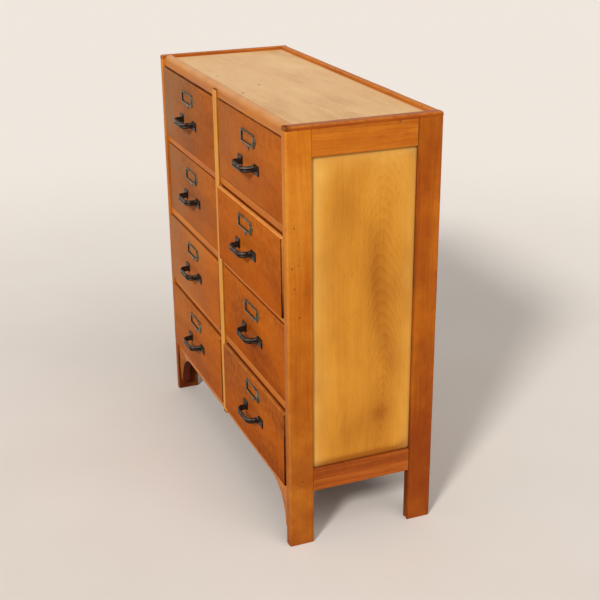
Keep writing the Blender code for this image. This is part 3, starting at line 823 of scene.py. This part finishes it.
for side, sign in SIDES:
    for label, material, seed, tone in (("top", frame_y, 5.0, -0.10), ("bottom", low_y, 6.0, 0.0)):
        name = f"{side}_side_{label}_rail"
        low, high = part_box(name)
        front_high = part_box(f"front_{side}_stile")[1].y
        rear_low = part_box(f"rear_{side}_stile")[0].y
        straight(name, "y", material, seed + sign * 0.3, tone,
                 low=(low.x, front_high + FIT, low.z), high=(high.x, rear_low - FIT, high.z))
    name = f"{side}_side_panel"
    mesh = sheet_mesh(name, *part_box(name), "x", PANEL_IN_GROOVE, PANEL_EDGE_SHADE_AND_STAIN, PANEL_RIMMED, PANEL_CLOUDS)
    finish_piece(f"{name}_look", mesh, side_panel, "carcass", 7.0 + sign * 0.4, (name,))

    name = f"{side}_top_lip"
    chipped_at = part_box(name)[0].y + LIP_END
    if sign > 0:
        lip_wood, chip, radii = frame_y, 0.9, (0.0, 0.0, 0.005, 0.002)
    else:
        lip_wood, chip, radii = rail_y, 0.0, (0.0, 0.0, 0.002, 0.008)
    straight(name, "y", lip_wood, 8.0 + sign * 0.2, LIP_TONE, radii, nicks=10,
             end_round=LIP_END, stain=lambda u, v, place: chip * bell(place - chipped_at, LIP_END))

straight("back_top_lip", "x", rail_x, 9.0, -0.02, radii=(0.0, 0.0, 0.005, 0.002))

mesh = sheet_mesh("top_panel", *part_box("top_panel"), "z", stained=(0.4, 0.4, 0.0, 0.4))
finish_piece("top_panel_look", mesh, top_panel, "carcass", 10.0, ("top_panel",))

TOP_RAIL_ARRIS = 0.0015
TOP_RAIL_ROUND = 0.016


def top_rail():
    """The rounded rail along the top front, with the ledge that carries the panel."""
    name = "top_front_rail"
    low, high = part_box(name)
    panel_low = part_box("top_panel")[0]
    back = panel_low.y - FIT
    ledge = panel_low.z - FIT
    corners = [(low.y, low.z), (high.y, low.z), (high.y, ledge), (back, ledge), (back, high.z),
               (low.y, high.z), (low.y, low.z + SHADE_LINE_HEIGHT), (low.y, low.z + SHADE_LINE_CORE)]
    radii = [TOP_RAIL_ARRIS, 0, 0, 0, TOP_RAIL_ARRIS, TOP_RAIL_ROUND, 0, 0]
    profile = rounded_profile(corners, radii, steps=8)
    profile = [(u, v, wear if corner == 0 else 0.25 * wear, corner) for u, v, wear, corner in profile]
    nicks = random_nicks(name, (0, 5), low.x, high.x, 12, 0.0008)
    # The rim value paints a highlight on the upper half of the rounded front, and the stain value paints
    # shade along the lower edge
    mesh = bar_mesh(name, profile, "x", low.x, high.x, nicks=nicks, seed=11.0,
                    rim=lambda u, v, place: smoothstep((low.z + high.z) / 2, high.z, v),
                    stain=lambda u, v, place: lower_shade_line(v, low.z))
    carcass_piece(name, mesh, round_x, 11.0)


top_rail()

RAIL_HOUSED = 0.004

for row in (1, 2, 3):
    name = f"divider_rail_{row}"
    low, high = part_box(name)
    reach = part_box("front_right_stile")[0].x + RAIL_HOUSED
    # Each divider rail carries a painted shade line along its lower edge
    straight(name, "x", rail_x, 12.0 + row, 0.02, nicks=10,
             low=(-reach, low.y, low.z), high=(reach, high.y, high.z),
             stain=lambda u, v, place, bottom=low.z: lower_shade_line(v, bottom))

MUNTIN_RADIUS = 0.0025
MUNTIN_HEAD = 0.006
MUNTIN_SEED = 16.0
# The flanks grow darker towards their base, and the top end has a dark ring
FLANK_DARKENING = 0.85
HEAD_DARKENING, HEAD_DARKENING_REACH = 0.8, 0.0012


def muntin():
    """The strip between the columns, rounded in front and at its top end, let in over the rails."""
    name = "centre_muntin"
    low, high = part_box(name)
    rail_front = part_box("divider_rail_1")[0].y - FIT
    depth = rail_front - low.y
    corners = rectangle(low.x, low.y, high.x, rail_front)
    profile = rounded_profile(corners, (MUNTIN_RADIUS, MUNTIN_RADIUS, 0, 0))

    def darkening(u, v, place):
        flank = smoothstep(low.y + 0.15 * depth, low.y + 0.7 * depth, v)
        return max(FLANK_DARKENING * flank, HEAD_DARKENING * bell(high.z - place, HEAD_DARKENING_REACH))

    mesh = bar_mesh(name, profile, "z", low.z, high.z, end_round=MUNTIN_HEAD, seed=MUNTIN_SEED, stain=darkening,
                    nicks=random_nicks(name, (0, 1), low.z, high.z, 8, 0.0006))
    carcass_piece(name, mesh, muntin_z, MUNTIN_SEED)
    corners = rectangle(low.x, rail_front, high.x, high.y)
    profile = rounded_profile(corners, (0, 0, 0, 0))
    for row in ROWS:
        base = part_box(f"drawer_shelf_{row}")[1].z + FIT
        above = f"divider_rail_{row - 1}" if row > 1 else "top_front_rail"
        post = bar_mesh(f"{name}_post_{row}", profile, "z", base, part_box(above)[0].z - FIT, step=0.05,
                        seed=MUNTIN_SEED)
        finish_piece(f"{name}_post_{row}", post, muntin_z, "carcass", MUNTIN_SEED, tone=-0.1)


muntin()

APRON_BOTTOM = 0.1235
BRACKET_LAND = 0.020
BRACKET_LENGTH = 0.088
BRACKET_STEPS = 28
# Painted shade on the faces of the left bracket, and on the cut edge painted shade with old soiling
BRACKET_SHADE, BRACKET_FACE = 0.8, 0.01
CUT_SHADE_AND_SOILING, CUT_REACH = 1.4, 0.003


def apron():
    """The apron, cut from one board, with its edges rounded, painted shade with old soiling on its cut edge,
    and painted shade on the faces of its left bracket.
    """
    name = "front_apron"
    low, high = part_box(name)
    drop = APRON_BOTTOM - low.z
    land = high.x - BRACKET_LAND
    half = [(high.x, high.z), (high.x, low.z), (land, low.z)]
    for step in range(1, BRACKET_STEPS + 1):
        angle = math.pi / 2 * step / BRACKET_STEPS
        half.append((land - BRACKET_LENGTH * (1 - math.cos(angle)), low.z + drop * math.sin(angle)))
    outline = half + [(-x, z) for x, z in reversed(half)]
    mesh = upright(plate_mesh(name, [outline], high.y - low.y, ARRIS), (low.y + high.y) / 2)
    darkening = mesh.attributes.new("stain", "FLOAT", "POINT")
    for vert, value in zip(mesh.vertices, darkening.data):
        x, y, z = vert.co
        if min(y - low.y, high.y - y) < ARRIS / 2:
            value.value = BRACKET_SHADE if x < 0 and z < APRON_BOTTOM - BRACKET_FACE else 0.0
        elif z < APRON_BOTTOM + CUT_REACH:
            value.value = CUT_SHADE_AND_SOILING
    carcass_piece(name, mesh, frame_x, 17.0, -0.12)


apron()

KEPT_NODES = (
    ("drawer_shelf_1", inner_x, 21.0), ("drawer_shelf_2", inner_x, 22.0), ("drawer_shelf_3", inner_x, 23.0),
    ("drawer_shelf_4", shaded_under_x, 24.0), ("back_panel", inner_x, 26.0), ("rear_top_rail", inner_x, 27.0),
    ("rear_bottom_rail", shaded_under_x, 28.0), ("centre_partition", inner_z, 29.0),
)
for name, material, seed in KEPT_NODES:
    NODES[name].material_slots[0].material = material
    NODES[name]["seed"] = seed


# Drawers

FRONT_ARRIS = 0.0018
BACK_ARRIS = 0.001
TOP_ARRIS = 0.0028
# The top arris and the part of the top face that stands out are painted lighter: rubbed wood, and painted
# light where that face catches the light
TOP_WEAR_AND_LIGHT = 0.8
TOP_SHADED = 0.0015
LEAST_RUBBED = 0.003
# Painted shade on the front's ends, along its bottom edge and on the top face behind the part that stands out
END_BAND, LOWER_BAND = 0.0012, 0.0006
LOWER_SHADE, UPPER_SHADE = 0.8, 0.45
# A painted grey sheen across each front, strongest at its left end
PAINTED_SHEEN_MIDDLE, PAINTED_SHEEN_FALL = 0.55, 0.45


def front_mesh(body):
    """A drawer front about the middle of its front face.

    The part of its top edge that stands out of the carcass is rubbed and painted lighter as painted light,
    the part behind that is darkened as painted shade, as are its ends and its bottom edge. A painted grey
    sheen lies over its face.
    """
    low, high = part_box(f"{body}_front")
    size = high - low
    wide, tall = size.x / 2, size.z / 2
    standing_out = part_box("divider_rail_1")[0].y - low.y
    rubbed = max(standing_out - TOP_SHADED, LEAST_RUBBED)
    corners = rectangle(0.0, -tall, size.y, tall)
    corners[3:] = [(rubbed + 2 * FIT, tall), (rubbed, tall), (0.0, tall)]
    bottom_arris, top_arris = 0, 5
    profile = rounded_profile(corners, (FRONT_ARRIS, BACK_ARRIS, BACK_ARRIS, 0, 0, TOP_ARRIS))
    profile = [(u, v, max(wear, TOP_WEAR_AND_LIGHT) if corner == top_arris else wear, corner)
               for u, v, wear, corner in profile]

    def darkening(u, v, place):
        if abs(place) > wide - END_BAND:
            return 1.0
        if v < LOWER_BAND - tall:
            return LOWER_SHADE
        return UPPER_SHADE if v > tall - FIT and u > rubbed + FIT else 0.0

    nicks = random_nicks(body, (bottom_arris, top_arris), -wide, wide, 6, 0.0006)
    return bar_mesh(f"{body}_front", profile, "x", -wide, wide, end_round=FRONT_ARRIS, wear=0.0005,
                    nicks=nicks, rim=darkening, stain=lambda u, v, place: PAINTED_SHEEN_MIDDLE - PAINTED_SHEEN_FALL * place / wide,
                    bare=lambda u, v, place: 1.0 if v > tall - TOP_SHADED and u < rubbed + FIT else 0.0)


BOX_WALL = 0.010
BOX_BOTTOM = 0.006
BOX_ARRIS = 0.003
BOX_BACK_LOWER = 0.008
BOX_STEP = 0.03


def box_meshes():
    """Sides and back of a drawer, and its bottom, about the middle of the box's front bottom edge."""
    low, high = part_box("left_drawer_1_box")
    wide, deep, tall = high - low
    radii = (0, 0, BOX_ARRIS, BOX_ARRIS)
    inside = wide / 2 - BOX_WALL
    parts = []
    for sign in (-1, 1):
        inner, outer = sorted((sign * inside, sign * wide / 2))
        profile = rounded_profile(rectangle(inner, 0.0, outer, tall), radii)
        parts.append(bar_mesh("side", profile, "y", 0.0, deep, step=BOX_STEP, seed=31.0 + sign))
    profile = rectangle(deep - BOX_WALL, BOX_BOTTOM, deep, tall - BOX_BACK_LOWER)
    parts.append(bar_mesh("back", rounded_profile(profile, radii), "x", FIT - inside, inside - FIT,
                          step=BOX_STEP, seed=33.0))
    bottom = sheet_mesh("drawer_bottom", Vector((FIT - inside, 0.0, 0.0)),
                        Vector((inside - FIT, deep - FIT, BOX_BOTTOM - FIT)), "z")
    return joined_mesh(parts, "drawer_box"), bottom


STRAP_HEIGHT = 0.0142
STRAP_THICKNESS = 0.0042
FOOT_LENGTH = 0.027
FOOT_HEIGHT = 0.0245
ARM_SLANT = 0.002
FOOT_BEND = 0.0033
GRIP_BEND = 0.0135

# The foot's outline, end first, as shares of its length and of its height
FOOT_SHAPE = ((1.0, 0.80), (0.985, 0.88), (0.95, 0.92), (0.66, 0.88), (0.33, 0.91), (0.12, 0.96))

# Half of the strap's section, back to front: depth and height as shares of half its sizes, and wear, which on
# the upper ridge is also a painted highlight
STRAP_SECTION = ((-1.0, 0.94, 0.1), (-0.6, 1.0, 0.2), (0.2, 0.98, 0.2), (0.62, 0.82, 0.1),
                 (0.90, 0.62, 0.25), (1.0, 0.46, 0.9), (0.84, 0.28, 0.1), (0.44, 0.12, 0.0))
STRAP_MIDDLE = (0.32, 0.0, 0.0)
# The lower half and the feet take less of the rubbed colour, which leaves the painted highlight along the
# upper ridge
LOWER_WEAR_AND_HIGHLIGHT = 0.3
FOOT_WEAR_AND_HIGHLIGHT = 0.3
FOOT_CROWN, FOOT_FALL = 0.35, 0.55


def strap_mesh():
    """The bow handle about the middle of its back, on the drawer front; -Y is outwards."""
    low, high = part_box("left_drawer_1_handle")
    half = (high.x - low.x) / 2
    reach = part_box("left_drawer_1_front")[0].y - low.y
    resting = -FIT - STRAP_THICKNESS / 2
    out = -reach + STRAP_THICKNESS / 2
    bend = half - FOOT_LENGTH
    bow = bend - ARM_SLANT
    inner = arc((half, resting), (bend, resting), (bow, out), FOOT_BEND, 6)
    outer = arc((bend, resting), (bow, out), (0.0, out), GRIP_BEND, 12)
    root = inner[0][0]
    path = [(root + (half - root) * along, resting, FOOT_HEIGHT * tall, 1.0) for along, tall in FOOT_SHAPE]
    for index, (x, y) in enumerate(inner):
        share = 1 - index / (len(inner) - 1)
        path.append((x, y, STRAP_HEIGHT + (FOOT_HEIGHT - STRAP_HEIGHT) * share, share))
    path += [(x, y, STRAP_HEIGHT, 0.0) for x, y in outer]
    path += [(outer[-1][0] * share, out, STRAP_HEIGHT, 0.0) for share in (0.66, 0.33)]
    mirrored = [(-x, y, height, foot) for x, y, height, foot in reversed(path)]
    path = path + [(0.0, out, STRAP_HEIGHT, 0.0)] + mirrored
    section = [*STRAP_SECTION, STRAP_MIDDLE,
               *((depth, -up, LOWER_WEAR_AND_HIGHLIGHT * edge) for depth, up, edge in reversed(STRAP_SECTION))]
    solid = bmesh.new()
    rings = []
    for index, (x, y, height, foot) in enumerate(path):
        ahead = path[min(index + 1, len(path) - 1)]
        behind = path[max(index - 1, 0)]
        run = Vector((ahead[0] - behind[0], ahead[1] - behind[1])).normalized()
        outwards = Vector((-run.y, run.x)) * (STRAP_THICKNESS / 2)
        ring = []
        for depth, up, edge in section:
            flat = FOOT_CROWN - FOOT_FALL * abs(up) ** 3
            depth = depth if depth < 0 else depth + (flat - depth) * foot
            here = (x + outwards.x * depth, y + outwards.y * depth, up * height / 2)
            ring.append(point(solid, here, edge=edge * (1 - (1 - FOOT_WEAR_AND_HIGHLIGHT) * foot)))
        rings.append(ring)
    skin(solid, rings)
    return as_mesh(solid, "bow_handle", METAL_ANGLE)


LABEL_WIDTH = 0.081
LABEL_HEIGHT = 0.0304
LABEL_EAR = 0.0115
LABEL_EAR_HEIGHT = 0.0212
LABEL_TAB = 0.0125
LABEL_TAB_WIDTH = 0.020
LABEL_TIP = 0.002
LABEL_CORNER = 0.001
WINDOW_WIDTH = 0.0686
WINDOW_HEIGHT = 0.0216
WINDOW_UP = 0.0008
FLANGE = 0.0012
FLANGE_THICKNESS, FLANGE_BEVEL = 0.0014, 0.0003
BORDER_THICKNESS, BORDER_BEVEL = 0.0038, 0.0009


def label_mesh():
    """The card frame about its middle, on the drawer front: a flange and a raised border round the window."""
    wide, tall, ear, tab = LABEL_WIDTH / 2, LABEL_HEIGHT / 2, LABEL_EAR_HEIGHT / 2, LABEL_TAB_WIDTH / 2
    across, up = WINDOW_WIDTH / 2, WINDOW_HEIGHT / 2
    right = [(tab, -tall), (wide, -tall), (wide, -ear), (wide + LABEL_EAR, 0.0), (wide, ear), (wide, tall)]
    corners = right + [(-x, z) for x, z in reversed(right)] + [(0.0, -tall - LABEL_TAB)]
    radii = [0] * len(corners)
    for index in (1, 5, 6, 10):
        radii[index] = LABEL_CORNER
    for index in (3, 8, 12):
        radii[index] = LABEL_TIP
    outline = [(u, v) for u, v, _, _ in rounded_profile(corners, radii, steps=4)]
    window = rectangle(-across, WINDOW_UP - up, across, WINDOW_UP + up)
    border = rectangle(FLANGE - wide, FLANGE - tall, wide - FLANGE, tall - FLANGE)
    # The window's walls stay unrubbed and dark, also as painted shade inside the window
    dark = [(across + 2 * FIT, up + WINDOW_UP + FIT)]
    plates = []
    for edge, thickness, bevel in ((outline, FLANGE_THICKNESS, FLANGE_BEVEL),
                                   (border, BORDER_THICKNESS, BORDER_BEVEL)):
        plate = plate_mesh("plate", [edge, window], thickness, bevel, dark)
        plates.append(upright(plate, -FIT - thickness / 2))
    return joined_mesh(plates, "label_frame", METAL_ANGLE)


HEAD_SIDES = 14
HEAD_LEVELS = 4
HEAD_WEAR = 0.15


def heads_mesh(name, heads):
    """Round heads of pins, screws and nails: (place, radius, rise), each standing out along Y by its rise."""
    solid = bmesh.new()
    turns = [2 * math.pi * step / HEAD_SIDES for step in range(HEAD_SIDES)]
    for (x, y, z), radius, rise in heads:
        rings = []
        for level in range(HEAD_LEVELS):
            angle = math.pi / 2 * level / HEAD_LEVELS
            around, out = radius * math.cos(angle), y + rise * math.sin(angle)
            rings.append([point(solid, (x + around * math.cos(turn), out, z + around * math.sin(turn)),
                                edge=HEAD_WEAR) for turn in turns])
        skin(solid, rings)
    return as_mesh(solid, name, HEAD_ANGLE)


# Radius and rise of a head
PIN = (0.0016, -0.0009)
SCREW = (0.0032, -0.0012)
NAIL = (0.0024, 0.0008)
PIN_FACE = -0.0014
SCREW_FACE = -0.0030
SCREW_FROM_END = 0.012
PIN_SHARE = 0.4


def fixings_mesh(label_up):
    """Pins of the label frame and screws of the handle, about the handle's middle."""
    low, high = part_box("left_drawer_1_handle")
    screw = (high.x - low.x) / 2 - SCREW_FROM_END
    pin = LABEL_WIDTH / 2 + LABEL_EAR * PIN_SHARE
    tab = -LABEL_HEIGHT / 2 - LABEL_TAB * PIN_SHARE
    heads = [((x, PIN_FACE, label_up + z), *PIN) for x, z in ((-pin, 0.0), (pin, 0.0), (0.0, tab))]
    heads += [((sign * screw, SCREW_FACE, 0.0), *SCREW) for sign in (-1, 1)]
    return heads_mesh("fixings", heads)


def drawer_piece(body, part, mesh, material, slot, place, seed, *nodes):
    """A piece that is the same in every drawer, and the drawer's nodes that it stands for."""
    replaced = [f"{body}_{node}" for node in nodes]
    finish_piece(f"{body}_{part}", mesh, material, body, seed, replaced, place=place)


BOX_MESH, BOTTOM_MESH = box_meshes()
STRAP_MESH = strap_mesh()
LABEL_MESH = label_mesh()
LABEL_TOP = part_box("left_drawer_1_label_frame")[1].z
LABEL_UP = LABEL_TOP - LABEL_HEIGHT / 2 - middle_of("left_drawer_1_handle").z
FIXINGS_MESH = fixings_mesh(LABEL_UP)

# Each front's tone, its painted grey sheen, and how far its top edge is painted lighter, as rubbed wood and
# painted light, from the top row down
TONES = {"left": (-0.10, -0.08, 0.12, -0.03), "right": (0.03, -0.06, -0.03, -0.17)}
PAINTED_SHEENS = {"left": (0.75, 0.68, 0.60, 0.33), "right": (0.32, 0.04, 0.0, 0.08)}
BARED_AND_LIT = {"left": (0.1, 0.1, 0.1, 0.1), "right": (0.1, 0.9, 0.1, 0.25)}

for side, sign in SIDES:
    for row, tone, painted_sheen, bared in zip(ROWS, TONES[side], PAINTED_SHEENS[side], BARED_AND_LIT[side]):
        body = f"{side}_drawer_{row}"
        seed = 40.0 + row + 5 * sign
        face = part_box(f"{body}_front")[0].y
        at_front = middle_of(f"{body}_front")
        at_handle = middle_of(f"{body}_handle")
        at_front.y = at_handle.y = face
        at_label = at_handle + Vector((0, 0, LABEL_UP))
        at_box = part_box(f"{body}_box")[0].copy()
        at_box.x = at_front.x
        finish_piece(f"{body}_front_look", front_mesh(body), front_x, body, seed,
                     (f"{body}_front",), tone, at_front, painted_sheen, bared, flats=True)
        drawer_piece(body, "box_look", BOX_MESH, inner_y, "box_wood", at_box, seed, "box")
        drawer_piece(body, "bottom_look", BOTTOM_MESH, inner_x, "box_wood", at_box, seed + 0.5)
        drawer_piece(body, "handle_look", STRAP_MESH, iron, "dark_metal", at_handle, seed, "handle")
        drawer_piece(body, "label_look", LABEL_MESH, bronze, "label_metal", at_label, seed, "label_frame")
        drawer_piece(body, "fixings", FIXINGS_MESH, iron, "dark_metal", at_handle, seed)

NAILS_ACROSS = 9
NAIL_INSET = 0.007


def back_nails():
    """Nails that hold the back panel to the rear rails and the shelves."""
    low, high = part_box("back_panel")
    span = high.x - low.x - 2 * NAIL_INSET
    heads = []
    for name in ("rear_top_rail", "drawer_shelf_1", "drawer_shelf_2", "drawer_shelf_3", "rear_bottom_rail"):
        level = max(low.z + NAIL_INSET, middle_of(name).z)
        for index in range(NAILS_ACROSS):
            across = low.x + NAIL_INSET + span * index / (NAILS_ACROSS - 1)
            heads.append(((across, high.y, level), *NAIL))
    finish_piece("back_nails", heads_mesh("back_nails", heads), iron, "carcass", 50.0)


back_nails()


# Floor, light and camera

FLOOR_HALF = 18.0
FLOOR_LEVEL = -0.0005
FLOOR_NEAR = (rgb(224, 216, 208), rgb(228, 221, 214))
FLOOR_FAR = rgb(243, 236, 229)
SKY_COLOUR = (1.0, 0.975, 0.945, 1.0)
ZENITH_FROM = 0.8
HORIZON_LIGHT = 0.08
ZENITH_LIGHT = 0.40
BACKDROP_LEVEL = 0.78
SENSOR = 36.0


def floor():
    """A plain pale floor that grows a little paler far away."""
    mesh = bpy.data.meshes.new("floor")
    flat = bmesh.new()
    bmesh.ops.create_grid(flat, x_segments=1, y_segments=1, size=FLOOR_HALF)
    flat.to_mesh(mesh)
    flat.free()
    paint = Paint("floor_paint")
    place = paint.object_place()
    colour = paint.mix(paint.between(paint.noise(place, 1.6, 3.0), 0.3, 0.7), *FLOOR_NEAR)
    away = paint.add("VectorMath", {0: place}, output=1, operation="LENGTH")
    colour = paint.mix(paint.between(away, 1.0, 3.2), colour, FLOOR_FAR)
    paint.shade({"Base Color": colour, "Roughness": 0.75})
    mesh.materials.append(paint.material)
    obj = placed("floor", mesh)
    obj.location.z = FLOOR_LEVEL


def sky():
    """Soft light from above, seen as a plain pale backdrop."""
    world = bpy.data.worlds.new("studio")
    bpy.context.scene.world = world
    world.use_nodes = True
    nodes = Nodes(world.node_tree)
    height = nodes.parts(nodes.add("TexCoord", {}))[2]
    level = nodes.add("MapRange", {0: height, 2: ZENITH_FROM, 3: HORIZON_LIGHT, 4: ZENITH_LIGHT})
    rays = nodes.node("LightPath", {}).outputs
    shown = rays["Is Camera Ray"]
    for kind in ("Is Glossy Ray", "Is Transmission Ray"):
        shown = nodes.math("MAXIMUM", shown, rays[kind])
    background = nodes.tree.nodes["Background"].inputs
    background["Color"].default_value = SKY_COLOUR
    nodes.put(background["Strength"], nodes.add("Mix", {0: shown, 2: level, 3: BACKDROP_LEVEL}))


def direction(azimuth, elevation):
    """From the object outwards; azimuth 0 is straight in front."""
    flat = math.cos(elevation)
    return Vector((math.sin(azimuth) * flat, -math.cos(azimuth) * flat, math.sin(elevation)))


def sun(name, azimuth, elevation, strength, spread, colour):
    light = bpy.data.lights.new(name, "SUN")
    light.energy = strength
    light.angle = math.radians(spread)
    light.color = colour
    back = direction(math.radians(azimuth), math.radians(elevation))
    placed(name, light).rotation_euler = back.to_track_quat("Z", "Y").to_euler()


def photo_camera():
    """The photograph's camera."""
    back = direction(AZIMUTH, ELEVATION)
    right = Vector((0, 0, 1)).cross(back).normalized()
    up = back.cross(right)
    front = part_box("front_right_stile")[0].y
    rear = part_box("rear_right_stile")[1].y
    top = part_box("right_top_lip")[1].z
    middle = Vector((0, (front + rear) / 2, top / 2))
    place = middle + right * SIDEWAYS + up * UPWARDS + back * DISTANCE
    camera = bpy.data.cameras.new("camera")
    camera.lens = LENS
    camera.sensor_width = SENSOR
    camera.sensor_fit = "HORIZONTAL"
    obj = placed("camera", camera)
    turn = Matrix((right, up, back)).transposed() @ Matrix.Rotation(ROLL, 3, "Z")
    obj.matrix_world = Matrix.Translation(place) @ turn.to_4x4()
    bpy.context.scene.camera = obj


floor()
sky()
sun("key", 43.0, 33.5, 2.35, 10.0, (1.0, 0.98, 0.95))
sun("fill", 100.0, 50.0, 0.9, 50.0, (1.0, 0.98, 0.96))
photo_camera()
bpy.context.scene.view_settings.view_transform = "Standard"
